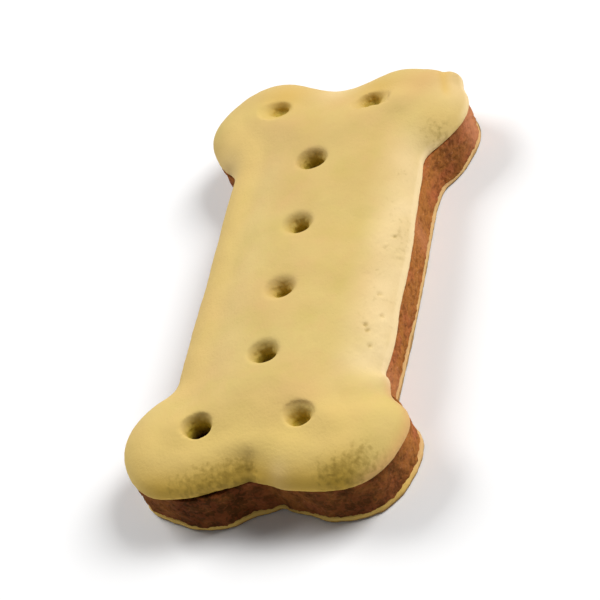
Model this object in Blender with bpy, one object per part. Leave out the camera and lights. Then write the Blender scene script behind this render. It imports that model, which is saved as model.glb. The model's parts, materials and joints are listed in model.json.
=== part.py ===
"""Bone-shaped sandwich dog biscuit: a thin base dough, a thick meaty filling and a pillowed top dough.

Units are metres, +Z is up. The origin is the middle of the underside, and the bone lies along X.
Each layer is a stack of rings that follow one bone outline. The docker holes are pressed
from above. Most stop inside the top dough, and the deepest two go through it into the filling.
"""
import math
import random

import bmesh
import bpy
from mathutils import Vector, noise

MM = 0.001

# Bone outline from above
LENGTH = 58.0 * MM
KNOB_RADIUS = 7.2 * MM
KNOB_SPREAD = 8.1 * MM
SHAFT_HALF_WIDTH = 11.4 * MM
SHAFT_BULGE = 0.3 * MM
FILLET_RADIUS = 2.4 * MM
NOTCH_RADIUS = 11.6 * MM
QUARTER_POINTS = 44

# Layer heights above the surface it lies on
GAP = 0.3 * MM
BASE_TOP = 0.75 * MM
FILLING_BOTTOM = BASE_TOP + GAP
FILLING_TOP = 5.2 * MM
TOP_DOUGH_BOTTOM = FILLING_TOP + GAP
SHOULDER_START = 5.9 * MM
SHOULDER_HEIGHT = 8.75 * MM
CROWN_HEIGHT = 10.05 * MM

# Top dough's long soft shoulder, from its low edge to the crown: a power below 2 is flatter than an ellipse
TOP_EDGE_ROUNDING = 0.15 * MM
SHOULDER_WIDTH = 4.7 * MM
SHOULDER_STEPS = 7
SHOULDER_POWER = 1.75

# Filling's side: it bulges between its rounded top and bottom edges
FILLING_INSET = 0.35 * MM
FILLING_ROUNDING = 0.25 * MM
FILLING_BULGE = 0.15 * MM
FILLING_LEVELS = (0.0, 0.06, 0.28, 0.52, 0.76, 0.94, 1.0)

# Base dough's lip: shares of its rounding in from the edge, and of its height up
BASE_INSET = 0.35 * MM
LIP_ROUNDING = 0.35 * MM
LIP_PROFILE = ((1.0, 0.0), (0.2, 0.2), (0.0, 0.55), (0.3, 0.9), (1.1, 1.0))

# Inner rings run towards a spine along the bone's middle
SPINE_HALF_LENGTH = 19.0 * MM
SPINE_SHRINK = 0.86
CROWN_RINGS = (0.74, 0.48, 0.22)

# Docker holes, in millimetres: a pair in each end and a row of four along the shaft, a little off
# their rows, with the height of the tip and the radius of the throat
DOCKER_HOLES = (
    (-22.9, -6.35, 7.2, 0.7),
    (-22.4, 4.9, 7.2, 0.8),
    (-13.2, -0.3, 5.8, 1.05),
    (-3.8, 0.0, 7.2, 0.9),
    (5.0, -0.2, 7.4, 0.8),
    (13.5, -0.35, 5.0, 1.0),
    (21.8, -6.2, 3.2, 1.15),
    (21.3, 4.75, 6.6, 0.95),
)
HOLE_MOUTH_RADIUS = 1.6 * MM
HOLE_OVAL = 1.12
HOLE_MOUTH_SINK = 0.35 * MM
HOLE_MOUTH_DEPTH = 1.0 * MM
PIN_CLEARANCE = 1.0 * MM
PIN_TIP_LENGTH = 0.5 * MM
FULL_DEPTH = 2.0 * MM
HOLE_SIDES = 14
HOLE_RAGGEDNESS = 0.07

# Unevenness of the baked surfaces
SWELL = 0.12 * MM
SWELL_LENGTH = 9.0 * MM
CRAG = 0.14 * MM
CRAG_LENGTH = 1.8 * MM
FILLING_CRAG = 0.2 * MM
LIP_WAVE = 0.16 * MM
LIP_WAVE_LENGTH = 5.0 * MM
CRAG_REACH = 1.6 * MM

# Lumps and hollows of the outline, in millimetres: x, y, radius and push outwards
TOP_LUMPS = (
    (11.7, 11.7, 5.0, 0.7),
    (1.0, 11.7, 6.0, 0.4),
    (17.4, 13.6, 2.0, -0.8),
    (20.8, 15.2, 2.0, 0.35),
    (0.0, -11.7, 12.0, -0.3),
    (21.3, -15.2, 3.0, 0.5),
    (-21.8, -15.2, 2.5, 0.4),
    (-26.6, 13.4, 1.6, 0.45),
    (-25.2, 14.8, 1.4, -0.35),
    (-28.3, 9.6, 2.5, -0.35),
    (-17.4, 13.6, 3.0, -0.4),
    (-26.3, 0.0, 2.8, -0.5),
    (27.1, -0.9, 1.0, -0.35),
    (27.6, 3.4, 1.8, 0.5),
    (28.8, -8.0, 3.6, -0.6),
    (29.0, 8.2, 3.0, -0.4),
)
RIM_LUMPS = (
    (26.9, 0.8, 0.9, -0.5),
    (27.6, -4.4, 2.0, 0.7),
    (28.2, -10.6, 2.4, -0.55),
    (25.2, -14.2, 1.8, 0.55),
    (18.9, 14.3, 2.0, 0.25),
    (-14.7, 11.3, 2.0, 0.4),
    (-19.8, 14.8, 2.5, -0.4),
    (-15.6, -12.0, 2.2, 0.7),
    (28.6, 9.0, 3.0, -0.35),
    (24.8, 14.6, 3.0, -0.35),
)

NOISE_GAIN = 1.6

TOP_DOUGH_COLOUR = "d0b573"
FILLING_COLOUR = "9c6238"
BASE_DOUGH_COLOUR = "d3ae6f"


def linear(hex_colour):
    """Turn an sRGB hex colour into the linear values that a shader takes."""
    values = [int(hex_colour[i:i + 2], 16) / 255 for i in (0, 2, 4)]
    return [v / 12.92 if v <= 0.04045 else ((v + 0.055) / 1.055) ** 2.4 for v in values] + [1.0]


def clear_scene():
    for old in list(bpy.data.objects):
        bpy.data.objects.remove(old, do_unlink=True)


def matte_material(name, hex_colour, roughness):
    material = bpy.data.materials.new(name)
    material.use_nodes = True
    shader = material.node_tree.nodes["Principled BSDF"]
    shader.inputs["Base Color"].default_value = linear(hex_colour)
    shader.inputs["Roughness"].default_value = roughness
    shader.inputs["Metallic"].default_value = 0.0
    return material


def arc(centre, radius, start, end, steps):
    """Points from one angle to another, both ends included."""
    angles = [start + (end - start) * i / steps for i in range(steps + 1)]
    return [Vector((centre.x + radius * math.cos(a), centre.y + radius * math.sin(a))) for a in angles]


def evenly_spaced(path, count):
    """The path again, as count points at even steps from its start to just before its end."""
    lengths = [0.0]
    for a, b in zip(path, path[1:]):
        lengths.append(lengths[-1] + (b - a).length)
    points = []
    piece = 0
    for i in range(count):
        wanted = lengths[-1] * i / count
        while lengths[piece + 1] < wanted:
            piece += 1
        share = (wanted - lengths[piece]) / (lengths[piece + 1] - lengths[piece])
        points.append(path[piece].lerp(path[piece + 1], share))
    return points


def quarter_outline():
    """One quarter of the bone: half a shaft side, the fillet, the knob and half the end notch."""
    knob = Vector((LENGTH / 2 - KNOB_RADIUS, KNOB_SPREAD))
    rise = SHAFT_HALF_WIDTH + FILLET_RADIUS - knob.y
    reach = math.sqrt((KNOB_RADIUS + FILLET_RADIUS) ** 2 - rise ** 2)
    fillet = Vector((knob.x - reach, knob.y + rise))
    touch = math.atan2(knob.y - fillet.y, knob.x - fillet.x)
    notch = Vector((knob.x + math.sqrt((KNOB_RADIUS + NOTCH_RADIUS) ** 2 - knob.y ** 2), 0.0))
    notch_touch = math.atan2(knob.y, knob.x - notch.x)
    shaft = []
    for i in range(20):
        share = i / 20
        shaft.append(Vector((fillet.x * share, SHAFT_HALF_WIDTH + SHAFT_BULGE * (1 - share ** 2))))
    path = shaft + arc(fillet, FILLET_RADIUS, -math.pi / 2, touch, 16)
    path += arc(knob, KNOB_RADIUS, touch + math.pi, notch_touch - math.pi, 60)[1:]
    path += arc(notch, NOTCH_RADIUS, notch_touch, math.pi, 16)[1:]
    return path


def bone_outline():
    """The whole outline, anticlockwise seen from above, the same in all four quarters."""
    path = quarter_outline()
    evened = evenly_spaced(path, QUARTER_POINTS) + [path[-1]]
    turned = [Vector((-p.x, p.y)) for p in evened]
    left = turned + [Vector((-p.x, -p.y)) for p in reversed(evened)][1:]
    right = [Vector((p.x, -p.y)) for p in evened] + list(reversed(evened))[1:]
    return left[:-1] + right[:-1]


def outward_normals(outline):
    normals = []
    for i, _ in enumerate(outline):
        along = outline[(i + 1) % len(outline)] - outline[i - 1]
        normals.append(Vector((along.y, -along.x)).normalized())
    return normals


def spine_points(outline):
    """For each outline point, the point of the bone's middle line that it runs in to."""
    spine = []
    for p in outline:
        x = max(-SPINE_HALF_LENGTH, min(SPINE_HALF_LENGTH, p.x * SPINE_SHRINK))
        spine.append(Vector((x, 0.0)))
    return spine


OUTLINE = bone_outline()
NORMALS = outward_normals(OUTLINE)
SPINE = spine_points(OUTLINE)


def edge_ring(inset, height):
    """A ring at a constant inset from the outline."""
    return [Vector((p.x - n.x * inset, p.y - n.y * inset, height)) for p, n in zip(OUTLINE, NORMALS)]


def inner_ring(outer, share, height):
    """A ring part of the way from the spine (0) to an outer ring (1)."""
    ring = []
    for p, s in zip(outer, SPINE):
        ring.append(Vector((s.x + (p.x - s.x) * share, s.y + (p.y - s.y) * share, height)))
    return ring


def lumpiness(point, lumps):
    """How far the lumps push a point outwards. Each fades to nothing within about two radii."""
    push = 0.0
    for x, y, radius, strength in lumps:
        away = math.hypot(point.x - x * MM, point.y - y * MM) / (radius * MM)
        push += strength * MM * math.exp(-away ** 2)
    return push


def wave(point, length, seed):
    """Smooth noise from about -1 to 1, whose lumps are as wide as the given length."""
    return NOISE_GAIN * noise.noise(point / length + Vector((seed, 2 * seed, 3 * seed)))


def lofted(name, rings, material):
    """A closed solid through a stack of rings, with its bottom and top drawn in to the spine."""
    bm = bmesh.new()
    heights = (rings[0][0].z, rings[-1][0].z)
    low = inner_ring(rings[0], 0.0, heights[0])
    high = inner_ring(rings[-1], 0.0, sum(p.z for p in rings[-1]) / len(rings[-1]))
    stack = [[bm.verts.new(p) for p in ring] for ring in [low] + rings + [high]]
    for lower, upper in zip(stack, stack[1:]):
        for i, _ in enumerate(lower):
            bm.faces.new((lower[i - 1], lower[i], upper[i], upper[i - 1]))
    bmesh.ops.remove_doubles(bm, verts=bm.verts, dist=0.001 * MM)
    bmesh.ops.triangulate(bm, faces=bm.faces)
    bmesh.ops.recalc_face_normals(bm, faces=bm.faces)
    mesh = bpy.data.meshes.new(name)
    bm.to_mesh(mesh)
    bm.free()
    mesh.materials.append(material)
    mesh.shade_smooth()
    mesh.set_sharp_from_angle(angle=math.radians(50))
    layer = bpy.data.objects.new(name, mesh)
    bpy.context.collection.objects.link(layer)
    return layer


def base_rings():
    """The thin base dough: flat below, with an uneven rounded lip."""
    rings = []
    for inward, upward in LIP_PROFILE:
        ring = edge_ring(BASE_INSET + LIP_ROUNDING * inward, BASE_TOP * upward)
        for p, n in zip(ring, NORMALS):
            push = lumpiness(p, RIM_LUMPS) + LIP_WAVE * wave(p, LIP_WAVE_LENGTH, 4.0)
            p.x += n.x * push
            p.y += n.y * push
        rings.append(ring)
    return rings


def filling_rings():
    """The meaty filling: nearly upright sides that are rough and bulge a little."""
    height = FILLING_TOP - FILLING_BOTTOM
    rings = []
    for share in FILLING_LEVELS:
        inset = FILLING_INSET + FILLING_BULGE * (1 - math.sin(math.pi * share))
        if share in (0.0, 1.0):
            inset += FILLING_ROUNDING
        ring = edge_ring(inset, FILLING_BOTTOM + height * share)
        for p, n in zip(ring, NORMALS):
            push = FILLING_CRAG * wave(p, CRAG_LENGTH, 7.0) * math.sin(math.pi * share)
            push += lumpiness(p, RIM_LUMPS) + LIP_WAVE * wave(p, LIP_WAVE_LENGTH, 8.0) - FILLING_CRAG
            p.x += n.x * push
            p.y += n.y * push
        rings.append(ring)
    return rings


def roughened_edge(ring):
    """Lumps, swell and, low down, crags on one ring of the top dough."""
    for p, n, o in zip(ring, NORMALS, OUTLINE):
        low = max(0.0, 1.0 - (p.z - TOP_DOUGH_BOTTOM) / CRAG_REACH)
        push = lumpiness(o, TOP_LUMPS) + SWELL * wave(p, SWELL_LENGTH, 1.0)
        push += CRAG * low * wave(p, CRAG_LENGTH, 2.0)
        p.x += n.x * push
        p.y += n.y * push
    return ring


def top_rings():
    """The top dough: a low rounded edge, a long soft shoulder and a domed crown."""
    rings = [roughened_edge(edge_ring(TOP_EDGE_ROUNDING, TOP_DOUGH_BOTTOM))]
    rise = SHOULDER_HEIGHT - SHOULDER_START
    for i in range(SHOULDER_STEPS + 1):
        angle = math.pi / 2 * i / SHOULDER_STEPS
        inset = SHOULDER_WIDTH * (1 - math.cos(angle) ** (2 / SHOULDER_POWER))
        height = SHOULDER_START + rise * math.sin(angle) ** (2 / SHOULDER_POWER)
        rings.append(roughened_edge(edge_ring(inset, height)))
    shoulder = rings[-1]
    for share in CROWN_RINGS:
        height = SHOULDER_HEIGHT + (CROWN_HEIGHT - SHOULDER_HEIGHT) * (1 - share ** 2)
        ring = inner_ring(shoulder, share, height)
        for p in ring:
            p.z += SWELL * wave(p, SWELL_LENGTH, 3.0) * (1 - share)
        rings.append(ring)
    return rings


def surface_height(x, y):
    """Height of the crown over a point, by how far it is from the spine and from the shoulder."""
    nearest = min(OUTLINE, key=lambda p: math.hypot(p.x - x, p.y - y))
    inside = math.hypot(nearest.x - x, nearest.y - y) - SHOULDER_WIDTH
    share = 1 - min(1.0, inside / (SHAFT_HALF_WIDTH - SHOULDER_WIDTH))
    return SHOULDER_HEIGHT + (CROWN_HEIGHT - SHOULDER_HEIGHT) * (1 - share ** 2)


def docker_pins():
    """The ragged oval pins that press the holes, as one cutter. A shallow hole has a shallower mouth."""
    ragged = random.Random(11)
    bm = bmesh.new()
    for hole in DOCKER_HOLES:
        x, y, tip, throat = (value * MM for value in hole)
        surface = surface_height(x, y)
        depth = min(1.0, (surface - tip) / FULL_DEPTH)
        mouth = surface - HOLE_MOUTH_SINK * depth
        levels = (
            (CROWN_HEIGHT + PIN_CLEARANCE, HOLE_MOUTH_RADIUS * 1.15),
            (mouth, HOLE_MOUTH_RADIUS),
            (mouth - HOLE_MOUTH_DEPTH * depth, throat),
            (tip + PIN_TIP_LENGTH * depth, throat * 0.95),
            (tip, throat * 0.55),
        )
        stack = []
        for height, radius in levels:
            ring = []
            for i in range(HOLE_SIDES):
                angle = 2 * math.pi * i / HOLE_SIDES
                size = radius * (1 + ragged.uniform(-HOLE_RAGGEDNESS, HOLE_RAGGEDNESS))
                across = size * HOLE_OVAL
                ring.append(bm.verts.new((x + size * math.cos(angle), y + across * math.sin(angle), height)))
            stack.append(ring)
        for upper, lower in zip(stack, stack[1:]):
            for i in range(HOLE_SIDES):
                bm.faces.new((lower[i - 1], lower[i], upper[i], upper[i - 1]))
        bm.faces.new(stack[0])
        bm.faces.new(list(reversed(stack[-1])))
    bmesh.ops.recalc_face_normals(bm, faces=bm.faces)
    mesh = bpy.data.meshes.new("docker_pins")
    bm.to_mesh(mesh)
    bm.free()
    pins = bpy.data.objects.new("docker_pins", mesh)
    bpy.context.collection.objects.link(pins)
    pins.hide_render = True
    pins.display_type = "WIRE"
    return pins


def press_holes(layer, pins):
    cut = layer.modifiers.new("docker_holes", "BOOLEAN")
    cut.operation = "DIFFERENCE"
    cut.solver = "EXACT"
    cut.object = pins


def main():
    clear_scene()
    top_dough = matte_material("baked_top_dough", TOP_DOUGH_COLOUR, 0.8)
    meat_dough = matte_material("baked_meat_filling", FILLING_COLOUR, 0.92)
    base_dough = matte_material("baked_base_dough", BASE_DOUGH_COLOUR, 0.85)
    lofted("base_biscuit", base_rings(), base_dough)
    filling = lofted("filling", filling_rings(), meat_dough)
    top = lofted("top_biscuit", top_rings(), top_dough)
    pins = docker_pins()
    press_holes(filling, pins)
    press_holes(top, pins)


main()
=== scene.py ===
"""Looks of a bone-shaped sandwich dog biscuit: a docked top dough, a meaty filling and a thin base dough.

The file is laid out as an add-on and is run as a script. Lengths are metres, in the part's own frame:
the bone lies along X, its underside is at z = 0, and +X is the end nearest to the camera.
"""
import json
import math

import bmesh
import bpy
from mathutils import Matrix, Vector, noise

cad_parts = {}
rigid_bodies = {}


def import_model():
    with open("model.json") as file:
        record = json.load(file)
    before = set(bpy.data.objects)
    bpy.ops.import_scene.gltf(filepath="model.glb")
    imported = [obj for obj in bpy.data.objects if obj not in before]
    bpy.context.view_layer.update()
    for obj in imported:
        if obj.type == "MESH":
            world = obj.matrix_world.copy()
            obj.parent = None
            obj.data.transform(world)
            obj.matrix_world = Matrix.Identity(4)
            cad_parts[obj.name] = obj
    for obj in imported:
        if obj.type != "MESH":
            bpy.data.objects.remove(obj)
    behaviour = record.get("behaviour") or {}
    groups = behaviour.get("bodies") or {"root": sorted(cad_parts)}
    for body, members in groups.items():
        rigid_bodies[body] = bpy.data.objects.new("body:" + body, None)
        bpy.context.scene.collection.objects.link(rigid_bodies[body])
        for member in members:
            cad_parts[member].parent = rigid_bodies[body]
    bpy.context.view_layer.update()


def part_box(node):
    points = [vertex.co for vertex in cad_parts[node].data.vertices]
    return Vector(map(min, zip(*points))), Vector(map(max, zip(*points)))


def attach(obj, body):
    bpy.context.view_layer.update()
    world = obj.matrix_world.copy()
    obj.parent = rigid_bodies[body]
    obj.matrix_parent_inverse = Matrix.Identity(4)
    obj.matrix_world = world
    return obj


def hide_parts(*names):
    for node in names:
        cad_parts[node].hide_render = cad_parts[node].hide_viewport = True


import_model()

BASE_LOW, BASE_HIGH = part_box("base_biscuit")
FILLING_LOW, FILLING_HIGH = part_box("filling")
TOP_LOW, TOP_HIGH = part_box("top_biscuit")
PIECES_LOW = Vector(min(values) for values in zip(BASE_LOW, FILLING_LOW, TOP_LOW))
PIECES_HIGH = Vector(max(values) for values in zip(BASE_HIGH, FILLING_HIGH, TOP_HIGH))

bl_info = {
    "name": "Sandwich dog biscuit",
    "version": (1, 0, 0),
    "blender": (4, 5, 0),
    "location": "View3D > Sidebar > Biscuit",
    "description": "Models a bone-shaped sandwich dog biscuit layer by layer",
    "category": "Object",
}

MM = 0.001
BODY = "root"


def linear(hex_colour):
    """An sRGB hex colour as the linear red, green and blue that shaders take."""
    values = [int(hex_colour[i:i + 2], 16) / 255 for i in (0, 2, 4)]
    return tuple(v / 12.92 if v <= 0.04045 else ((v + 0.055) / 1.055) ** 2.4 for v in values)


def length_property(name, description, default):
    return bpy.props.FloatProperty(
        name=name, description=description, default=default, unit="LENGTH", subtype="DISTANCE", precision=5
    )


def colour_property(name, description, hex_colour):
    return bpy.props.FloatVectorProperty(
        name=name, description=description, default=linear(hex_colour),
        size=3, subtype="COLOR", min=0.0, max=1.0,
    )


class BoneSizes(bpy.types.PropertyGroup):
    """Sizes of the bone outline and of the three layers."""

    half_length: length_property("Half length", "From the middle to the tip of a knob", 29.0 * MM)
    knob_radius: length_property("Knob radius", "Radius of the four round knobs", 7.2 * MM)
    knob_spread: length_property("Knob spread", "From the middle line to a knob's centre", 8.1 * MM)
    shaft_half_width: length_property("Shaft half width", "Half its width beside a knob", 11.4 * MM)
    shaft_bulge: length_property("Shaft bulge", "How much wider the shaft is halfway along", 0.3 * MM)
    fillet_radius: length_property("Fillet radius", "Hollow curve between shaft and knob", 2.4 * MM)
    notch_radius: length_property("Notch radius", "Hollow curve between the two knobs of an end", 11.6 * MM)
    shoulder: length_property("Shoulder", "Width of the top dough's long soft shoulder", 4.7 * MM)
    shoulder_start: length_property("Shoulder start", "Height where the shoulder begins", 5.9 * MM)
    shoulder_height: length_property("Shoulder height", "Where the shoulder meets the crown", 8.75 * MM)
    crown_height: length_property("Crown height", "Height of the top dough along its middle", 10.02 * MM)
    base_joint: length_property("Base joint", "Height where base and filling meet",
                                (BASE_HIGH.z + FILLING_LOW.z) / 2)
    top_joint: length_property("Top joint", "Height where filling and top dough meet",
                               (FILLING_HIGH.z + TOP_LOW.z) / 2)
    filling_inset: length_property("Filling inset", "How far it stays inside the outline", 0.35 * MM)
    base_inset: length_property("Base inset", "How far its lip stays inside the outline", 0.3 * MM)


class BakeColours(bpy.types.PropertyGroup):
    """Colours of the baked doughs and of the stage."""

    crust: colour_property("Crust", "Top dough over most of the biscuit", "cfb56f")
    crust_warm: colour_property("Warm crust", "Top dough in its warmer patches", "cfad6d")
    crust_olive: colour_property("Olive crust", "Yellow-green tint of the top dough", "c6b062")
    crust_golden: colour_property("Golden crust", "Top dough along the left side of the shaft", "dbbb70")
    crust_straw: colour_property("Straw crust", "Yellower top dough of the front end", "dcbd6c")
    crust_tanned: colour_property("Tanned crust", "Deeper top dough towards the far end", "bf9f5f")
    # Partly painted light: a painted highlight along the right slope's low edge
    crust_pale: colour_property("Pale crust", "Floury slope along the right side of the shaft", "e9cf9c")
    crust_ochre: colour_property("Ochre crust", "Low edge and folded corner of the top dough", "d0a634")
    # Partly painted shade: along the front end's low edge
    crust_rosy: colour_property("Rosy crust", "Pinkish low edge at the right front", "ce9862")
    # Painted shade: soft smudges low on the ends of the top dough
    crust_painted_shade: colour_property("Painted crust shade", "Soft smudges of the top dough", "a98c34")
    crust_toasted: colour_property("Toasted crust", "Dots in the smudges of the top dough", "8a6f24")
    # Docker hole walls: the torn crumb's tone, laid on by depth and partly painted shade, and painted shade
    # at their bottoms
    crumb: colour_property("Crumb", "Torn crumb in the walls of the docker holes", "b0982c")
    hole_painted_shade: colour_property("Painted hole shade", "Crumb at the bottom of the deepest docker holes", "3c1b06")
    meat: colour_property("Meat", "Filling along the sides", "ad6e34")
    meat_red: colour_property("Red meat", "Redder patches of the filling", "b0623d")
    meat_dark: colour_property("Dark meat", "Pores of the filling", "6c3b17")
    # Painted shade: the filling at the front end and its redder grains are darker, shaded copies of the
    # meat
    painted_shade_meat: colour_property("Painted meat shade", "Filling at the front end, baked darkest", "4a290c")
    painted_shade_meat_grains: colour_property("Painted meat shade grains", "Redder grains of the browned filling", "6a3618")
    meat_pale: colour_property("Pale meat", "Specks and crumbs on the filling", "c98f66")
    meat_rosy: colour_property("Rosy meat", "Pinker patches of the filling's side", "cf8862")
    base: colour_property("Base", "Thin base dough at its lip", "d8ae74")
    base_browned: colour_property("Browned base", "Base dough at the front end", "e0ba60")
    # Partly painted shade: the underside baked darker on the tray, and painted shade along the lip's lower
    # edge
    base_under_and_painted_shade: colour_property("Base underside", "Base dough where it lay on the baking tray", "94703a")
    floor: colour_property("Floor", "Plain pale floor", "f4f4f4")


def sizes():
    return bpy.context.scene.bone_sizes


def colours():
    return bpy.context.scene.bake_colours


# Unevenness of this biscuit, seen from above: x, y, radius and strength, in millimetres. The strength
# of a lump is its height in millimetres, and that of a patch or a pit is a share.

TOP_LUMPS = (
    (11.7, 11.7, 5.0, 0.7),
    (1.0, 11.7, 6.0, 0.4),
    (17.4, 13.6, 2.0, -0.8),
    (15.9, 12.1, 0.7, 0.45),
    (20.8, 15.2, 2.0, 0.35),
    (0.0, -11.7, 12.0, -0.3),
    (21.3, -15.2, 3.0, 0.5),
    (-21.8, -15.2, 2.5, 0.4),
    (-26.6, 13.4, 1.6, 0.45),
    (-25.2, 14.8, 1.4, -0.35),
    (-28.3, 9.6, 2.5, -0.35),
    (-17.4, 13.6, 3.0, -0.4),
    (-26.3, 0.0, 2.8, -0.5),
    (27.1, -0.9, 1.0, -0.35),
    (27.6, 3.4, 1.8, 0.5),
    (28.8, -8.0, 3.6, -0.6),
    (29.0, 8.2, 3.0, -0.4),
)
RIM_LUMPS = (
    (26.9, 0.8, 0.9, -0.5),
    (26.6, 0.9, 0.5, -0.35),
    (27.6, -4.4, 2.0, 0.7),
    (28.2, -10.6, 2.4, -0.55),
    (25.2, -14.2, 1.8, 0.55),
    (18.9, 14.3, 2.0, 0.25),
    (-14.7, 11.3, 2.0, 0.4),
    (-19.8, 14.8, 2.5, -0.4),
    (-15.6, -12.0, 2.2, 0.7),
    (-18.2, -13.4, 1.5, 0.3),
    (28.6, 9.0, 3.0, -0.35),
    (24.8, 14.6, 3.0, -0.35),
)
# Smudges of painted shade with dots of toasting and porous crags: low on the ends, in the front notch and
# in the far right knob's fillet
TOASTED_AND_SHADED_PATCHES = (
    (26.0, -0.7, 1.6, 0.1),
    (27.1, -1.0, 1.15, 0.55),
    (26.9, -2.8, 1.5, 0.28),
    (27.6, -5.4, 1.8, 0.28),
    (28.0, -8.0, 1.4, 0.14),
    (27.4, 10.2, 1.9, 0.36),
    (26.0, 12.4, 1.5, 0.24),
    (27.8, 8.0, 1.2, 0.2),
    (-17.6, 12.6, 1.7, 0.16),
)
# The first patch, at the left waist, is flour and painted light where the waist lies in shade
FLOURED_PATCHES = (
    (-15.6, -12.6, 2.2, 0.4),
    (-24.0, 15.0, 3.0, 0.4),
    (-25.6, 0.0, 2.5, 0.45),
    (27.8, 3.0, 1.4, 0.9),
)
# The first two, at the far knobs' waists, are golden and painted light where the waists lie in shade
GOLDEN_PATCHES = (
    (-18.5, -12.0, 4.0, 0.8),
    (-19.0, 14.0, 3.0, 0.8),
    (-24.0, -6.3, 2.6, 0.4),
    (-23.5, 5.2, 2.6, 0.4),
    (20.0, 0.6, 2.6, 0.5),
    (26.0, -13.5, 2.2, 0.8),
)
OCHRE_PATCHES = (
    (28.0, 10.5, 2.2, 0.3),
    (-24.5, -6.3, 2.4, 0.3),
    (-24.0, 5.2, 2.2, 0.25),
)
ROSY_PATCHES = (
    (-24.8, 10.6, 2.2, 0.2),
)
TANNED_PATCHES = (
    (-9.5, 5.5, 4.0, 1.0),
)
# Patches of painted shade on the filling
FILLING_PAINTED_SHADE_PATCHES = (
    (-18.5, 13.6, 2.6, 0.62),
    (17.6, 13.0, 0.9, 0.6),
    (-16.0, -11.5, 2.5, 0.8),
    (3.5, 11.3, 3.5, 0.12),
)
ROSY_MEAT_PATCHES = (
    (-22.3, 14.8, 2.0, 0.7),
    (-6.6, 11.3, 1.3, 0.35),
    (12.6, 11.0, 1.5, 0.35),
)
LIP_DARKER_PATCHES = (
    (26.4, 12.6, 2.2, 0.32),
)
LIP_THIN_PATCHES = (
    (26.5, 1.0, 3.0, 0.8),
)
NOTCH_HOLLOWS = (
    (26.0, -1.0, 2.2, 1.0),
)
RIM_PITS = (
    (9.9, 9.7, 0.24, 0.5),
    (10.5, 10.0, 0.24, 0.5),
    (12.4, 10.5, 0.24, 0.4),
    (5.6, 10.4, 0.24, 0.35),
    (8.3, 11.0, 0.22, 0.35),
    (-2.2, 10.6, 0.2, 0.3),
)


# Modelling helpers

# Two heights or places nearer than this are the same one
TOUCH = 0.01 * MM


def deselect_all():
    for other in bpy.context.view_layer.objects:
        other.select_set(False)


def make_active(piece):
    deselect_all()
    piece.select_set(True)
    bpy.context.view_layer.objects.active = piece


def edit(piece):
    make_active(piece)
    bpy.ops.object.mode_set(mode="EDIT")
    bpy.ops.mesh.select_all(action="DESELECT")


def leave_edit():
    bpy.ops.object.mode_set(mode="OBJECT")


def place_in_mesh(piece):
    make_active(piece)
    bpy.ops.object.transform_apply(location=True, rotation=True, scale=True)


def apply_modifier(piece, kind, **settings):
    make_active(piece)
    modifier = piece.modifiers.new(kind.lower(), kind)
    for key, value in settings.items():
        setattr(modifier, key, value)
    bpy.ops.object.modifier_apply(modifier=modifier.name)


def select_vertices(mesh, rule):
    """In edit mode, select the vertices whose place passes the rule."""
    bm = bmesh.from_edit_mesh(mesh)
    bm.select_mode = {"VERT"}
    for vertex in bm.verts:
        vertex.select = rule(vertex.co)
    bm.select_flush_mode()
    bmesh.update_edit_mesh(mesh)


def select_edges(mesh, rule):
    """In edit mode, select the edges both of whose ends pass the rule."""
    bm = bmesh.from_edit_mesh(mesh)
    bm.select_mode = {"EDGE"}
    for edge in bm.edges:
        edge.select = all(rule(vertex.co) for vertex in edge.verts)
    bm.select_flush_mode()
    bmesh.update_edit_mesh(mesh)


def smoothstep(low, high, value):
    """From 0 at low to 1 at high with soft ends, and the other way round where low is the greater."""
    share = max(0.0, min(1.0, (value - low) / (high - low)))
    return share * share * (3 - 2 * share)


def lumpiness(x, y, lumps):
    """The sum of the lumps at a place seen from above. Each fades to nothing within three radii."""
    total = 0.0
    for lump_x, lump_y, radius, strength in lumps:
        away = math.hypot(x / MM - lump_x, y / MM - lump_y) / radius
        if away < 3:
            total += strength * math.exp(-away ** 2)
    return total


def patchy(point, size, seed):
    """Smooth noise from 0 to 1 with patches of the given size."""
    value = noise.noise(Vector((point.x, point.y, point.z)) / size + Vector((seed, 2 * seed, 3 * seed)))
    return max(0.0, min(1.0, 0.5 + 0.9 * value))


def vertex_weights(piece, name, spots, rule):
    """A vertex group whose weights follow a rule of each spot."""
    group = piece.vertex_groups.new(name=name)
    for index, spot in enumerate(spots):
        weight = rule(spot)
        if weight > 0.001:
            group.add((index,), min(weight, 1.0), "REPLACE")
    return name


def vertex_values(piece, name, spots, rule):
    """A number on each vertex for the materials, by a rule of each spot."""
    layer = piece.data.attributes.new(name, "FLOAT", "POINT")
    layer.data.foreach_set("value", [rule(spot) for spot in spots])


def relief(piece, size, strength, group, depth):
    """Raise and sink the surface by noise of the given lump size, where the vertex group says."""
    texture = bpy.data.textures.new("clouds", "CLOUDS")
    texture.noise_scale = size
    texture.noise_depth = depth
    apply_modifier(
        piece, "DISPLACE", texture=texture, texture_coords="LOCAL", strength=strength, vertex_group=group,
    )


def push(piece, distance, group, direction="NORMAL"):
    """Move the surface evenly where the vertex group says."""
    apply_modifier(
        piece, "DISPLACE", strength=distance, mid_level=0.0, vertex_group=group, direction=direction
    )


def stay_in_box(piece):
    """Press any vertex that relief pushed past the solids' box back to its side."""
    for vertex in piece.data.vertices:
        for axis in range(3):
            vertex.co[axis] = max(PIECES_LOW[axis], min(PIECES_HIGH[axis], vertex.co[axis]))


# The bone outline, with the number of steps in each of its arcs

SIDE_STEPS = 20
FILLET_STEPS = 10
KNOB_STEPS = 48
NOTCH_STEPS = 10


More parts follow.
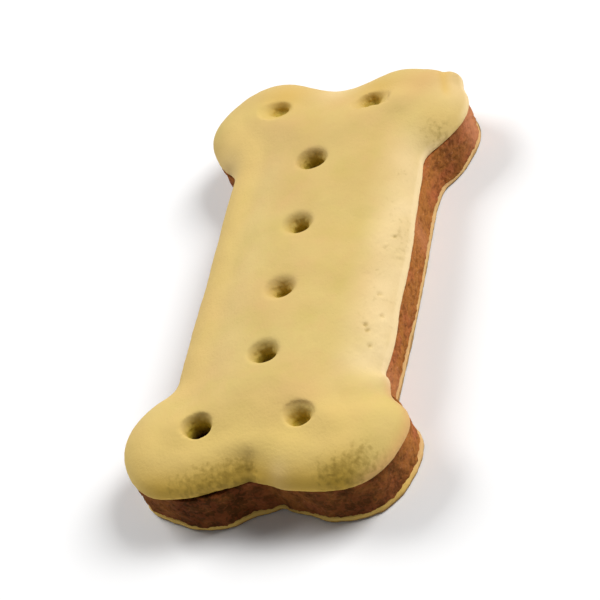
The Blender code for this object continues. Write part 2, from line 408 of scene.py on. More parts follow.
def outline_centres():
    """Centres of the knob, fillet, notch and bulging side in the quarter where x and y are positive."""
    s = sizes()
    knob = Vector((s.half_length - s.knob_radius, s.knob_spread))
    rise = s.shaft_half_width + s.fillet_radius - knob.y
    fillet = Vector((knob.x - math.sqrt((s.knob_radius + s.fillet_radius) ** 2 - rise ** 2), knob.y + rise))
    notch = Vector((knob.x + math.sqrt((s.knob_radius + s.notch_radius) ** 2 - knob.y ** 2), 0.0))
    side_radius = (fillet.x ** 2 + s.shaft_bulge ** 2) / (2 * s.shaft_bulge)
    side = Vector((0.0, s.shaft_half_width + s.shaft_bulge - side_radius))
    return knob, fillet, notch, side


def distance_inside(x, y):
    """How far a point is inside the outline, seen from above."""
    s = sizes()
    knob, fillet, notch, side = outline_centres()
    p = Vector((abs(x), abs(y)))
    inside = min((p - fillet).length - s.fillet_radius, (p - notch).length - s.notch_radius)
    if p.x < fillet.x:
        side_radius = s.shaft_half_width + s.shaft_bulge - side.y
        inside = min(inside, side_radius - (p - side).length)
    from_knob = p - knob
    turn = math.atan2(from_knob.y, from_knob.x)
    if math.atan2(-knob.y, notch.x - knob.x) < turn < math.atan2(fillet.y - knob.y, fillet.x - knob.x):
        inside = min(inside, s.knob_radius - from_knob.length)
    return inside


def outward(x, y):
    """The direction seen from above in which a point leaves the outline soonest."""
    step = 0.01 * MM
    slope = Vector((
        distance_inside(x + step, y) - distance_inside(x - step, y),
        distance_inside(x, y + step) - distance_inside(x, y - step),
    ))
    return -slope.normalized()


def spin_about(centre, turn, steps):
    """Draw an arc on from the selected point. A positive turn is clockwise seen from above."""
    bpy.ops.mesh.spin(steps=steps, angle=turn, center=(centre.x, centre.y, 0.0), axis=(0.0, 0.0, 1.0))


def outline_slab(name, low, high):
    """A slab of the bone outline: a quarter drawn with arcs, mirrored twice, filled and extruded."""
    s = sizes()
    knob, fillet, notch, side = outline_centres()
    bpy.ops.mesh.primitive_plane_add(size=MM, location=(0.0, s.shaft_half_width + s.shaft_bulge, low))
    slab = bpy.context.object
    slab.name = name
    slab.data.name = name
    place_in_mesh(slab)
    bpy.ops.object.mode_set(mode="EDIT")
    bpy.ops.mesh.select_all(action="SELECT")
    bpy.ops.mesh.merge(type="CENTER")
    side_turn = math.atan2(fillet.x, s.shaft_half_width - side.y)
    fillet_turn = math.pi / 2 + math.atan2(knob.y - fillet.y, knob.x - fillet.x)
    knob_turn = math.atan2(fillet.y - knob.y, fillet.x - knob.x) - math.atan2(-knob.y, notch.x - knob.x)
    notch_turn = math.atan2(knob.y, notch.x - knob.x)
    spin_about(side, side_turn, SIDE_STEPS)
    spin_about(fillet, -fillet_turn, FILLET_STEPS)
    spin_about(knob, knob_turn, KNOB_STEPS)
    spin_about(notch, -notch_turn, NOTCH_STEPS)
    leave_edit()
    apply_modifier(slab, "MIRROR", use_axis=(True, True, False), merge_threshold=2 * TOUCH)
    bpy.ops.object.mode_set(mode="EDIT")
    bpy.ops.mesh.select_all(action="SELECT")
    bpy.ops.mesh.edge_face_add()
    bpy.ops.mesh.extrude_region_move(TRANSFORM_OT_translate={"value": (0.0, 0.0, high - low)})
    bpy.ops.mesh.select_all(action="SELECT")
    bpy.ops.mesh.normals_make_consistent(inside=False)
    leave_edit()
    return slab


def round_edge(piece, height, width, segments=4, profile=0.5):
    """Bevel the outline loop that lies at one height."""
    edit(piece)
    select_edges(piece.data, lambda p: abs(p.z - height) < TOUCH)
    bpy.ops.mesh.bevel(
        offset_type="OFFSET", offset=width, segments=segments, profile=profile, affect="EDGES",
        clamp_overlap=False,
    )
    leave_edit()


def shape_outline(piece, inset, lumps):
    """Draw a slab in from the outline, and swell and dent it by the lumps."""
    for vertex in piece.data.vertices:
        x, y = vertex.co.x, vertex.co.y
        out = outward(x, y)
        edge = Vector((x, y)) + out * distance_inside(x, y)
        shift = lumpiness(edge.x, edge.y, lumps) * MM - inset
        vertex.co.x += out.x * shift
        vertex.co.y += out.y * shift


# Where two layers meet, faces this far inside the outline and away from the holes are hidden
HIDDEN_INSIDE = 1.5 * MM
HIDDEN_FROM_HOLES = 1.8 * MM
HIDDEN_SHARE_KEPT = 0.03


def thin_out(piece, height):
    """Collapse most faces of the flat side that lies hidden against another layer at one height."""

    def hidden(p):
        return (
            abs(p.z - height) < 3 * TOUCH
            and distance_inside(p.x, p.y) > HIDDEN_INSIDE
            and hole_distance(p.x, p.y) > HIDDEN_FROM_HOLES
        )

    edit(piece)
    select_vertices(piece.data, hidden)
    bpy.ops.mesh.decimate(ratio=HIDDEN_SHARE_KEPT)
    leave_edit()


# The docker holes

# In millimetres: x, y, the height of the tip, and the radii of the throat and the mouth. There is a pair
# in each end and a row of four along the shaft, a little off their rows. Most stop in the top dough.
DOCKER_HOLES = (
    (-22.9, -6.6, 7.5, 0.75, 1.85),
    (-22.4, 4.65, 7.4, 0.8, 1.85),
    (-13.2, -0.3, 5.9, 1.0, 1.8),
    (-3.8, 0.0, 7.5, 0.8, 1.8),
    (5.1, -0.2, 7.7, 0.75, 1.85),
    (13.5, -0.4, 5.0, 0.87, 1.75),
    (21.95, -6.2, 2.0, 1.1, 1.5),
    (21.5, 4.8, 7.1, 0.8, 1.5),
)

# A hole is this much longer across the bone than along it
HOLE_OVAL = 1.25

# The funnel of each hole from its throat up: rise in millimetres, and the share of the way from the
# throat's radius to the mouth's. Its last step stands above the surface and flares to soften the rim,
# less on the sloping knobs.
FUNNEL = ((0.5, 0.15), (0.4, 0.4), (0.25, 0.68), (0.15, 1.0), (0.6, 1.8))
KNOB_FUNNEL = (*FUNNEL[:-1], (0.6, 1.45))
KNOB_START = 18 * MM
FUNNEL_DEPTH = 1.3 * MM

# A shallow hole's funnel is lower, so that it takes up this share of the hole's depth
SHALLOW_FUNNEL_SHARE = 0.65

PIN_SIDES = 32
PIN_TIP_ROUNDING = 0.5 * MM

# How far below its drawn height the crown may lie at a hole
SETTLING = 0.3 * MM

# A height above every piece, to look down from
WELL_ABOVE = 50 * MM


def nearest_hole(x, y):
    return min(DOCKER_HOLES, key=lambda hole: math.hypot(x - hole[0] * MM, y - hole[1] * MM))


def hole_distance(x, y):
    """Distance from a point to the nearest hole's middle line, seen from above."""
    hole = nearest_hole(x, y)
    return math.hypot(x - hole[0] * MM, y - hole[1] * MM)


def crown_share(inside):
    """How much of the crown's rise there is, from 0 at the shoulder to 1 along the middle."""
    s = sizes()
    way = max(0.0, min(1.0, (inside - s.shoulder) / (s.shaft_half_width - s.shoulder)))
    return 1 - (1 - way) ** 2


def surface_height(inside):
    """Height of the top dough's crown at a distance inside the outline."""
    s = sizes()
    return s.shoulder_height + (s.crown_height - s.shoulder_height) * crown_share(inside)


def height_at(piece, x, y):
    """Height of a piece's upper surface at a place seen from above."""
    bpy.context.view_layer.update()
    _, place, _, _ = piece.ray_cast(Vector((x, y, WELL_ABOVE)), Vector((0.0, 0.0, -1.0)))
    return place.z


def docker_pin(x, y, tip, narrow, mouth, surface):
    """One tapered pin with a flared collar at the surface, as the tool that presses a hole."""
    shallow = min(1.0, SHALLOW_FUNNEL_SHARE * (surface - tip) / FUNNEL_DEPTH)
    throat = surface - FUNNEL_DEPTH * shallow
    bpy.ops.mesh.primitive_cylinder_add(
        vertices=PIN_SIDES, radius=narrow, depth=throat - tip, location=(x, y, (throat + tip) / 2)
    )
    pin = bpy.context.object
    place_in_mesh(pin)
    edit(pin)
    select_vertices(pin.data, lambda p: p.z > throat - TOUCH)
    radius = narrow
    for rise, share in FUNNEL if abs(x) < KNOB_START else KNOB_FUNNEL:
        bpy.ops.mesh.extrude_region_move(TRANSFORM_OT_translate={"value": (0.0, 0.0, rise * MM * shallow)})
        wanted = narrow + (mouth - narrow) * share
        wider = wanted / radius
        bpy.ops.transform.resize(value=(wider, wider, 1.0), center_override=(x, y, surface))
        radius = wanted
    bpy.ops.mesh.select_all(action="DESELECT")
    select_edges(pin.data, lambda p: p.z < tip + TOUCH)
    rounding = min(PIN_TIP_ROUNDING, 0.8 * (throat - tip))
    bpy.ops.mesh.bevel(offset_type="OFFSET", offset=rounding, segments=3, affect="EDGES")
    bpy.ops.mesh.select_all(action="SELECT")
    bpy.ops.transform.resize(value=(1.0, HOLE_OVAL, 1.0), center_override=(x, y, surface))
    leave_edit()
    return pin


def docker_pins(piece):
    pins = []
    for hole in DOCKER_HOLES:
        x, y, tip, narrow, mouth = (value * MM for value in hole)
        surface = max(height_at(piece, x, y), surface_height(distance_inside(x, y)) - SETTLING)
        pins.append(docker_pin(x, y, tip, narrow, mouth, surface))
    deselect_all()
    for pin in pins:
        pin.select_set(True)
    bpy.context.view_layer.objects.active = pins[0]
    bpy.ops.object.join()
    pins[0].name = "docker_pins"
    return pins[0]


def press_holes(piece):
    pins = docker_pins(piece)
    apply_modifier(piece, "BOOLEAN", operation="DIFFERENCE", solver="EXACT", object=pins)
    bpy.data.objects.remove(pins, do_unlink=True)


# What each vertex knows about its place

# Distances from a hole's middle line: how far its depth is measured, and where the ring of surface
# starts that it is measured from. Below the height, it is measured from the drawn crown instead.
HOLE_REACH = 2.8 * MM
HOLE_RING = 2.2 * MM
HOLE_WALL_HEIGHT = 6.5 * MM


class Spot:
    """A vertex's place, how far it is inside the outline and how far from the nearest docker hole."""

    def __init__(self, place):
        self.x, self.y, self.z = place
        self.inside = distance_inside(self.x, self.y)
        self.hole = hole_distance(self.x, self.y)


def spots_of(piece):
    return [Spot(vertex.co) for vertex in piece.data.vertices]


def measure_depths(spots):
    """Give each spot its depth below a plane through the surface that surrounds its nearest hole."""
    near = {hole: [] for hole in DOCKER_HOLES}
    for p in spots:
        p.deep = 0.0
        if p.hole < HOLE_REACH and p.z > HOLE_WALL_HEIGHT:
            near[nearest_hole(p.x, p.y)].append(p)
        elif p.hole < HOLE_REACH:
            p.deep = max(0.0, surface_height(p.inside) - p.z)
    for (x, y, *_), around in near.items():
        ring = [p for p in around if p.hole > HOLE_RING]
        level = sum(p.z for p in ring) / len(ring)
        slope_x, slope_y = (
            sum((p.z - level) * (getattr(p, axis) - at * MM) for p in ring)
            / sum((getattr(p, axis) - at * MM) ** 2 for p in ring)
            for axis, at in (("x", x), ("y", y))
        )
        for p in around:
            p.deep = max(0.0, level + slope_x * (p.x - x * MM) + slope_y * (p.y - y * MM) - p.z)


# Materials

# Tints laid over the top dough, in this order. Each has a colour among BakeColours and a rule of its name.
CRUST_TINTS = ("golden", "straw", "tanned", "pale", "ochre", "rosy")


def add(tree, kind, inputs=None, stops=None, **settings):
    """Add a shader node with its settings, its links or values, and the stops of a colour ramp."""
    made = tree.nodes.new(kind)
    for key, value in settings.items():
        setattr(made, key, value)
    for key, value in (inputs or {}).items():
        if isinstance(value, bpy.types.Node):
            value = value.outputs[0]
        if isinstance(value, bpy.types.NodeSocket):
            tree.links.new(value, made.inputs[key])
        else:
            made.inputs[key].default_value = value
    if stops:
        ramp = made.color_ramp
        while len(ramp.elements) < len(stops):
            ramp.elements.new(1.0)
        for element, (place, value) in zip(ramp.elements, stops):
            element.position = place
            element.color = (value, value, value, 1.0)
    return made


def rgba(colour):
    return (*colour, 1.0)


def finish_piece(piece, node):
    """Smooth shading, the CAD node it stands for and the body it rides on."""
    make_active(piece)
    bpy.ops.object.shade_smooth()
    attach(piece, BODY)
    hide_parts(node)


def new_material(name):
    material = bpy.data.materials.new(name)
    material.use_nodes = True
    tree = material.node_tree
    return material, tree, tree.nodes["Principled BSDF"]


def baked_wheat_dough():
    """Rolled wheat dough, baked dry: matte, tan-yellow, with soft smudges of painted shade low on its edge
    that break up into porous dots of toasting.
    """
    c = colours()
    material, tree, shader = new_material("baked_wheat_dough")
    place = add(tree, "ShaderNodeTexCoord").outputs["Object"]
    patches = add(tree, "ShaderNodeTexNoise", {"Vector": place, "Scale": 1 / (9 * MM), "Detail": 2.0})
    tint = add(tree, "ShaderNodeTexNoise", {"Vector": place, "Scale": 1 / (5 * MM), "Detail": 3.0})
    mottle = add(tree, "ShaderNodeTexNoise", {"Vector": place, "Scale": 1 / (1.4 * MM), "Detail": 4.0})
    grain = add(tree, "ShaderNodeTexNoise", {"Vector": place, "Scale": 1 / (0.28 * MM), "Detail": 3.0})
    warm = add(tree, "ShaderNodeValToRGB", {"Fac": patches}, stops=((0.38, 0.0), (0.64, 1.0)))
    olive = add(tree, "ShaderNodeValToRGB", {"Fac": tint}, stops=((0.45, 0.0), (0.75, 0.8)))
    speckle = add(tree, "ShaderNodeValToRGB", {"Fac": mottle}, stops=((0.5, 0.0), (0.8, 0.5)))
    base = add(tree, "ShaderNodeMixRGB", {
        "Fac": warm, "Color1": rgba(c.crust), "Color2": rgba(c.crust_warm)})
    base = add(tree, "ShaderNodeMixRGB", {"Fac": olive, "Color1": base, "Color2": rgba(c.crust_olive)})
    base = add(tree, "ShaderNodeMixRGB", {"Fac": speckle, "Color1": base, "Color2": rgba(c.crust_warm)})
    for tint in CRUST_TINTS:
        share = add(tree, "ShaderNodeAttribute", attribute_name=tint).outputs["Fac"]
        colour = rgba(getattr(c, "crust_" + tint))
        base = add(tree, "ShaderNodeMixRGB", {"Fac": share, "Color1": base, "Color2": colour})
    # The smudges are a soft painted shade, broken up by dots of toasting: the dots' share is raised and
    # lowered by fine noise
    toasted_and_painted_shade = add(tree, "ShaderNodeAttribute", attribute_name="toasted_and_painted_shade").outputs["Fac"]
    dots = add(tree, "ShaderNodeTexNoise", {
        "Vector": place, "Scale": 1 / (0.6 * MM), "Detail": 2.0, "Roughness": 0.5})
    soft = add(tree, "ShaderNodeMath", {0: toasted_and_painted_shade, 1: 0.9}, operation="MULTIPLY", use_clamp=True)
    base = add(tree, "ShaderNodeMixRGB", {"Fac": soft, "Color1": base, "Color2": rgba(c.crust_painted_shade)})
    toast = add(tree, "ShaderNodeMath", {0: toasted_and_painted_shade, 1: dots}, operation="ADD")
    toast = add(tree, "ShaderNodeValToRGB", {"Fac": toast}, stops=((0.62, 0.0), (1.1, 0.7)))
    bare = add(tree, "ShaderNodeMath", {0: toasted_and_painted_shade, 1: 8.0}, operation="MULTIPLY", use_clamp=True)
    toast = add(tree, "ShaderNodeMath", {0: toast, 1: bare}, operation="MULTIPLY")
    base = add(tree, "ShaderNodeMixRGB", {"Fac": toast, "Color1": base, "Color2": rgba(c.crust_toasted)})
    # Painted shade in the docker holes: with depth the walls turn to the torn crumb's tone, partly painted
    # shade, and then nearly black
    in_hole = add(tree, "ShaderNodeAttribute", attribute_name="in_hole").outputs["Fac"]
    torn = add(tree, "ShaderNodeValToRGB", {"Fac": in_hole}, stops=((0.02, 0.0), (0.33, 0.9)))
    deep = add(tree, "ShaderNodeValToRGB", {"Fac": in_hole}, stops=((0.4, 0.0), (0.95, 1.0)))
    base = add(tree, "ShaderNodeMixRGB", {"Fac": torn, "Color1": base, "Color2": rgba(c.crumb)})
    base = add(tree, "ShaderNodeMixRGB", {"Fac": deep, "Color1": base, "Color2": rgba(c.hole_painted_shade)})
    tree.links.new(base.outputs["Color"], shader.inputs["Base Color"])
    shader.inputs["Roughness"].default_value = 0.75
    shader.inputs["IOR"].default_value = 1.45
    shader.inputs["Specular IOR Level"].default_value = 0.3
    bump = add(tree, "ShaderNodeBump", {"Height": grain, "Strength": 0.3, "Distance": 0.12 * MM})
    tree.links.new(bump.outputs["Normal"], shader.inputs["Normal"])
    return material


def baked_meat_dough():
    """Meaty dough, baked dry: matte brown with redder patches, full of pores, and with pale specks."""
    c = colours()
    material, tree, shader = new_material("baked_meat_dough")
    place = add(tree, "ShaderNodeTexCoord").outputs["Object"]
    patches = add(tree, "ShaderNodeTexNoise", {"Vector": place, "Scale": 1 / (3.2 * MM), "Detail": 2.0})
    clots = add(tree, "ShaderNodeTexNoise", {"Vector": place, "Scale": 1 / (1.1 * MM), "Detail": 3.0})
    pores = add(tree, "ShaderNodeTexNoise", {
        "Vector": place, "Scale": 1 / (0.42 * MM), "Detail": 3.0, "Roughness": 0.6})
    specks = add(tree, "ShaderNodeTexNoise", {"Vector": place, "Scale": 1 / (0.36 * MM), "Detail": 1.0})
    browned_and_painted_shade = add(tree, "ShaderNodeAttribute", attribute_name="browned_and_painted_shade").outputs["Fac"]
    red = add(tree, "ShaderNodeValToRGB", {"Fac": patches}, stops=((0.5, 0.0), (0.72, 0.8)))
    both = add(tree, "ShaderNodeMath", {0: clots, 1: pores}, operation="ADD")
    half = add(tree, "ShaderNodeMath", {0: both, 1: 0.5}, operation="MULTIPLY")
    dark = add(tree, "ShaderNodeValToRGB", {"Fac": half}, stops=((0.38, 0.65), (0.52, 0.0)))
    pale = add(tree, "ShaderNodeValToRGB", {"Fac": specks}, stops=((0.68, 0.0), (0.75, 0.6)))
    rosy = add(tree, "ShaderNodeAttribute", attribute_name="rosy").outputs["Fac"]
    base = add(tree, "ShaderNodeMixRGB", {"Fac": red, "Color1": rgba(c.meat), "Color2": rgba(c.meat_red)})
    base = add(tree, "ShaderNodeMixRGB", {"Fac": dark, "Color1": base, "Color2": rgba(c.meat_dark)})
    base = add(tree, "ShaderNodeMixRGB", {"Fac": pale, "Color1": base, "Color2": rgba(c.meat_pale)})
    base = add(tree, "ShaderNodeMixRGB", {"Fac": rosy, "Color1": base, "Color2": rgba(c.meat_rosy)})
    grains = add(tree, "ShaderNodeMath", {0: clots, 1: specks}, operation="ADD")
    # Painted shade: where the share says, the filling turns into a darker, shaded copy of itself with
    # redder grains
    ember = add(tree, "ShaderNodeValToRGB", {"Fac": grains}, stops=((0.98, 0.0), (1.35, 0.8)))
    crust = add(tree, "ShaderNodeMixRGB", {
        "Fac": ember, "Color1": rgba(c.painted_shade_meat), "Color2": rgba(c.painted_shade_meat_grains)})
    base = add(tree, "ShaderNodeMixRGB", {"Fac": browned_and_painted_shade, "Color1": base, "Color2": crust})
    tree.links.new(base.outputs["Color"], shader.inputs["Base Color"])
    shader.inputs["Roughness"].default_value = 0.9
    shader.inputs["Specular IOR Level"].default_value = 0.1
    bump = add(tree, "ShaderNodeBump", {"Height": both, "Strength": 0.8, "Distance": 0.2 * MM})
    tree.links.new(bump.outputs["Normal"], shader.inputs["Normal"])
    return material


def baked_base_dough():
    """The same wheat dough, thin: matte and pale tan, with fine grain."""
    c = colours()
    material, tree, shader = new_material("baked_base_dough")
    place = add(tree, "ShaderNodeTexCoord").outputs["Object"]
    patches = add(tree, "ShaderNodeTexNoise", {"Vector": place, "Scale": 1 / (3 * MM), "Detail": 4.0})
    grain = add(tree, "ShaderNodeTexNoise", {"Vector": place, "Scale": 1 / (0.3 * MM), "Detail": 3.0})
    warm = add(tree, "ShaderNodeValToRGB", {"Fac": patches}, stops=((0.4, 0.0), (0.7, 0.8)))
    base = add(tree, "ShaderNodeMixRGB", {
        "Fac": warm, "Color1": rgba(c.base), "Color2": rgba(c.crust_warm)})
    # On the base this share only turns the front end's lip yellower
    browned_and_painted_shade = add(tree, "ShaderNodeAttribute", attribute_name="browned_and_painted_shade").outputs["Fac"]
    base = add(tree, "ShaderNodeMixRGB", {"Fac": browned_and_painted_shade, "Color1": base, "Color2": rgba(c.base_browned)})
    # Darker towards the bottom, partly painted shade along the lip's lower edge
    under = add(tree, "ShaderNodeAttribute", attribute_name="under").outputs["Fac"]
    base = add(tree, "ShaderNodeMixRGB", {"Fac": under, "Color1": base, "Color2": rgba(c.base_under_and_painted_shade)})
    tree.links.new(base.outputs["Color"], shader.inputs["Base Color"])
    shader.inputs["Roughness"].default_value = 0.8
    shader.inputs["Specular IOR Level"].default_value = 0.3
    bump = add(tree, "ShaderNodeBump", {"Height": grain, "Strength": 0.4, "Distance": 0.12 * MM})
    tree.links.new(bump.outputs["Normal"], shader.inputs["Normal"])
    return material


# The pieces, each remeshed with a voxel size that keeps it under 200,000 triangles

PILLOW_VOXEL = 0.24 * MM
TOP_VOXEL = 0.17 * MM
FILLING_VOXEL = 0.14 * MM
BASE_VOXEL = 0.19 * MM

# The filling reaches into the two doughs, so that no gap shows, and stays in a little for its crags
FILLING_IN_BASE = 0.35 * MM
FILLING_IN_TOP = 0.05 * MM
CRAG_ROOM = 0.1 * MM


def front_share(p):
    """How far a spot is towards the front end, from 0 on the shaft to 1 at the notch."""
    return smoothstep(20 * MM, 26 * MM, p.x)


def left_band(p):
    """A soft band along the biscuit, 5 mm to the left of its middle line."""
    return math.exp(-((p.y + 5 * MM) / (2.2 * MM)) ** 2)


class BISCUIT_OT_top_dough(bpy.types.Operator):
    """Model the pillowed top dough with its docker holes"""

    bl_idname = "biscuit.top_dough"
    bl_label = "Top dough"

    def execute(self, context):
        top = self.pillow()
        press_holes(top)
        apply_modifier(top, "REMESH", mode="VOXEL", voxel_size=TOP_VOXEL)
        apply_modifier(top, "SMOOTH", factor=0.5, iterations=3)
        thin_out(top, sizes().top_joint)
        self.unevenness(top)
        stay_in_box(top)
        top.data.materials.append(baked_wheat_dough())
        finish_piece(top, "top_biscuit")
        return {"FINISHED"}

    @staticmethod
    def pillow():
        """The bone slab with its long soft shoulder and domed crown."""
        s = sizes()
        square = s.shoulder_start + s.shoulder
        top = outline_slab("top_dough", s.top_joint, square)
        round_edge(top, square, s.shoulder, segments=12, profile=0.45)
        round_edge(top, s.top_joint, 0.5 * MM)
        edit(top)
        select_vertices(top.data, lambda p: p.z > s.shoulder_start - TOUCH)
        flatter = (s.shoulder_height - s.shoulder_start) / s.shoulder
        bpy.ops.transform.resize(value=(1.0, 1.0, flatter), center_override=(0.0, 0.0, s.shoulder_start))
        leave_edit()
        shape_outline(top, 0.0, TOP_LUMPS)
        apply_modifier(top, "REMESH", mode="VOXEL", voxel_size=PILLOW_VOXEL)
        spots = spots_of(top)
        middle = (s.shoulder_start + s.shoulder_height) / 2
        crown = vertex_weights(top, "crown", spots, lambda p: crown_share(p.inside) * (p.z > middle))
        push(top, s.crown_height - s.shoulder_height, crown, "Z")
        soft = vertex_weights(top, "soft", spots, lambda p: float(p.z > middle))
        apply_modifier(top, "SMOOTH", factor=0.5, iterations=40, vertex_group=soft)
        top.vertex_groups.clear()
        return top

    def unevenness(self, top):
        """Dimples, creases, crags and pits, and where the dough is tinted."""
        spots = spots_of(top)
        measure_depths(spots)
        low = sizes().top_joint
        push(top, -0.2 * MM, vertex_weights(top, "dimple", spots, self.dimple_share), "Z")
        push(top, -0.45 * MM, vertex_weights(top, "hollow", spots, self.hollow_share))
        push(top, -0.3 * MM, vertex_weights(top, "crease", spots, self.crease_share))
        push(top, -0.2 * MM, vertex_weights(top, "fold", spots, self.fold_share))
        outside = vertex_weights(top, "outside", spots, lambda p: smoothstep(low, low + 0.4 * MM, p.z))
        relief(top, 6.0 * MM, 0.3 * MM, outside, depth=1)
        relief(top, 1.6 * MM, 0.07 * MM, outside, depth=2)
        for name, rule, size, strength in (
            ("rough", self.rough_share, 0.6 * MM, 0.25 * MM),
            ("walls", self.wall_share, 0.5 * MM, 0.35 * MM),
            ("pitted", self.pitted_share, 0.7 * MM, 0.16 * MM),
        ):
            relief(top, size, strength, vertex_weights(top, name, spots, rule), depth=2)
        push(top, -0.35 * MM, vertex_weights(top, "pits", spots, self.pit_share))
        for name in (*CRUST_TINTS, "toasted_and_painted_shade", "in_hole"):
            vertex_values(top, name, spots, getattr(self, name))
        top.vertex_groups.clear()

    @staticmethod
    def dimple_share(p):
        """The dough sinks around each docker hole."""
        return math.exp(-(p.hole / (2.3 * MM)) ** 2) * smoothstep(7.0 * MM, 8.5 * MM, p.z)

    @staticmethod
    def hollow_share(p):
        """A hollow in the front end's notch, to the left of its crease."""
        high = smoothstep(9.2 * MM, 7.8 * MM, p.z) * smoothstep(5.8 * MM, 7.0 * MM, p.z)
        return min(1.0, lumpiness(p.x, p.y, NOTCH_HOLLOWS)) * high

    @staticmethod
    def crease_share(p):
        """The crease runs down the front end's notch."""
        across = (p.y + 0.5 * MM) / (0.8 * MM)
        low = 0.25 + 0.75 * smoothstep(5.8 * MM, 7.0 * MM, p.z)
        return math.exp(-across ** 2) * smoothstep(23.8 * MM, 26.2 * MM, p.x) * low

    @staticmethod
    def fold_line(p):
        """Distance from the line where the squared corner of the far knob folds over."""
        line = 12.2 * MM + (p.x + 26.6 * MM) * 0.27
        return (p.y - line) * smoothstep(-30.0 * MM, -26.0 * MM, p.x)

    def fold_share(self, p):
        """The crease of that fold, which fades out along the knob."""
        if not -29.0 * MM < p.x < -21.5 * MM:
            return 0.0
        return math.exp(-(self.fold_line(p) / (0.5 * MM)) ** 2) * smoothstep(-21.5 * MM, -23.5 * MM, p.x)

    def ochre(self, p):
        """The fold and a few patches are deeper yellow, and so is the front end's low edge, as painted
        shade.
        """
        fold = 0.35 * self.fold_share(p)
        # Painted shade along the front end's low edge
        low = smoothstep(8.6 * MM, 6.6 * MM, p.z) * smoothstep(18 * MM, 26 * MM, p.x)
        low *= smoothstep(13 * MM, 9 * MM, p.y) * smoothstep(-14.5 * MM, -9.5 * MM, p.y)
        return min(1.0, fold + 0.7 * low + lumpiness(p.x, p.y, OCHRE_PATCHES))

    @staticmethod
    def rosy(p):
        """The low edge of the right front knob is pinkish."""
        side = smoothstep(14 * MM, 17 * MM, p.x) * smoothstep(10 * MM, 13 * MM, p.y)
        return 0.6 * side * smoothstep(7.4 * MM, 6.0 * MM, p.z) + lumpiness(p.x, p.y, ROSY_PATCHES)

    @staticmethod
    def golden(p):
        """The left side of the shaft is golden, and so are a few patches; the two at the far knobs' waists
        are also painted light.
        """
        shaft = smoothstep(20 * MM, 15 * MM, abs(p.x))
        edge = 0.7 * smoothstep(-5 * MM, -9.5 * MM, p.y)
        return min(1.0, shaft * (edge + 0.15 * left_band(p)) + lumpiness(p.x, p.y, GOLDEN_PATCHES))

    @staticmethod
    def straw(p):
        """The front end is yellower, most of all low down."""
        front = smoothstep(17 * MM, 24 * MM, p.x) * (1 - 0.4 * smoothstep(9 * MM, 13 * MM, p.y))
        return front * (0.7 + 0.3 * smoothstep(8.2 * MM, 6.5 * MM, p.z))

    @staticmethod
    def tanned(p):
        """A little darker towards the far end, along the middle of the far half of the shaft, and in a
        patch right of its middle line.
        """
        back = smoothstep(-6 * MM, -12 * MM, p.x) * smoothstep(7.5 * MM, 3 * MM, abs(p.y))
        right = 1.6 * lumpiness(p.x, p.y, TANNED_PATCHES)
        return 0.25 * max(back, right, 1.6 * smoothstep(-22 * MM, -25 * MM, p.x))

    @staticmethod
    def pale(p):
        """Flour stays on the right slope of the shaft and in patches, with a painted highlight low along
        its right edge and low on the far right knob; the patch at the left waist is flour and painted
        light.
        """
        along = smoothstep(-20 * MM, -12 * MM, p.x) * smoothstep(19 * MM, 14 * MM, p.x)
        right = smoothstep(6.0 * MM, 12.0 * MM, p.y) * (0.6 + 0.4 * patchy(p, 3 * MM, seed=9.0))
        left = 0.12 * left_band(p)
        # Painted highlight low along the right edge
        rim = 0.6 * smoothstep(6.8 * MM, 6.2 * MM, p.z) * smoothstep(5 * MM, 9 * MM, p.y)
        far = 0.8 * smoothstep(-19 * MM, -21 * MM, p.x)
        return min(1.0, along * (right + left + rim) + far * rim + lumpiness(p.x, p.y, FLOURED_PATCHES))

    @staticmethod
    def rough_share(p):
        """Porous crags on the smudges, and a little all along the low edge."""
        patch = 1.2 * lumpiness(p.x, p.y, TOASTED_AND_SHADED_PATCHES) * smoothstep(8.8 * MM, 7.4 * MM, p.z)
        edge = 0.3 * smoothstep(6.6 * MM, 5.8 * MM, p.z)
        return (patch + edge) * smoothstep(5.3 * MM, 5.7 * MM, p.z)

    @staticmethod
    def pitted_share(p):
        """Small pits on the far right slope of the shaft."""
        across = smoothstep(7.5 * MM, 9.0 * MM, p.y) * smoothstep(5.8 * MM, 6.4 * MM, p.z)
        along = smoothstep(-14 * MM, -8 * MM, p.x) * smoothstep(18 * MM, 15 * MM, p.x)
        return across * along * patchy(p, 3 * MM, seed=7.0)

    @staticmethod
    def pit_share(p):
        """Six single pits on the right edge."""
        return lumpiness(p.x, p.y, RIM_PITS)

    @staticmethod
    def wall_share(p):
        """The torn walls of the docker holes."""
        return smoothstep(2.2 * MM, 1.6 * MM, p.hole) * smoothstep(0.25 * MM, 0.8 * MM, p.deep)

    @staticmethod
    def toasted_and_painted_shade(p):
        """Soft smudges of painted shade low on the ends, broken up by dots of toasting, darker single pits,
        and a speckled right slope of the shaft.
        """
        patch = lumpiness(p.x, p.y, TOASTED_AND_SHADED_PATCHES) * smoothstep(9.0 * MM, 8.0 * MM, p.z)
        pits = 0.6 * lumpiness(p.x, p.y, RIM_PITS)
        along = smoothstep(-16 * MM, -10 * MM, p.x) * smoothstep(16 * MM, 8 * MM, p.x)
        speckled = 0.09 * along * smoothstep(7.6 * MM, 9.4 * MM, p.y) * smoothstep(6.0 * MM, 6.6 * MM, p.z)
        return patch + pits + speckled * patchy(p, 2.5 * MM, seed=4.0)

    @staticmethod
    def in_hole(p):
        """Depth in a docker hole, as a share of 5 mm, or of 3.3 mm in the darkest, at the front left. The
        walls of the holes take painted shade by it.
        """
        front_left = p.x > 17 * MM and p.y < -3 * MM
        full = 3.3 * MM if front_left else 5 * MM
        return smoothstep(2.4 * MM, 1.9 * MM, p.hole) * min(1.0, p.deep / full)


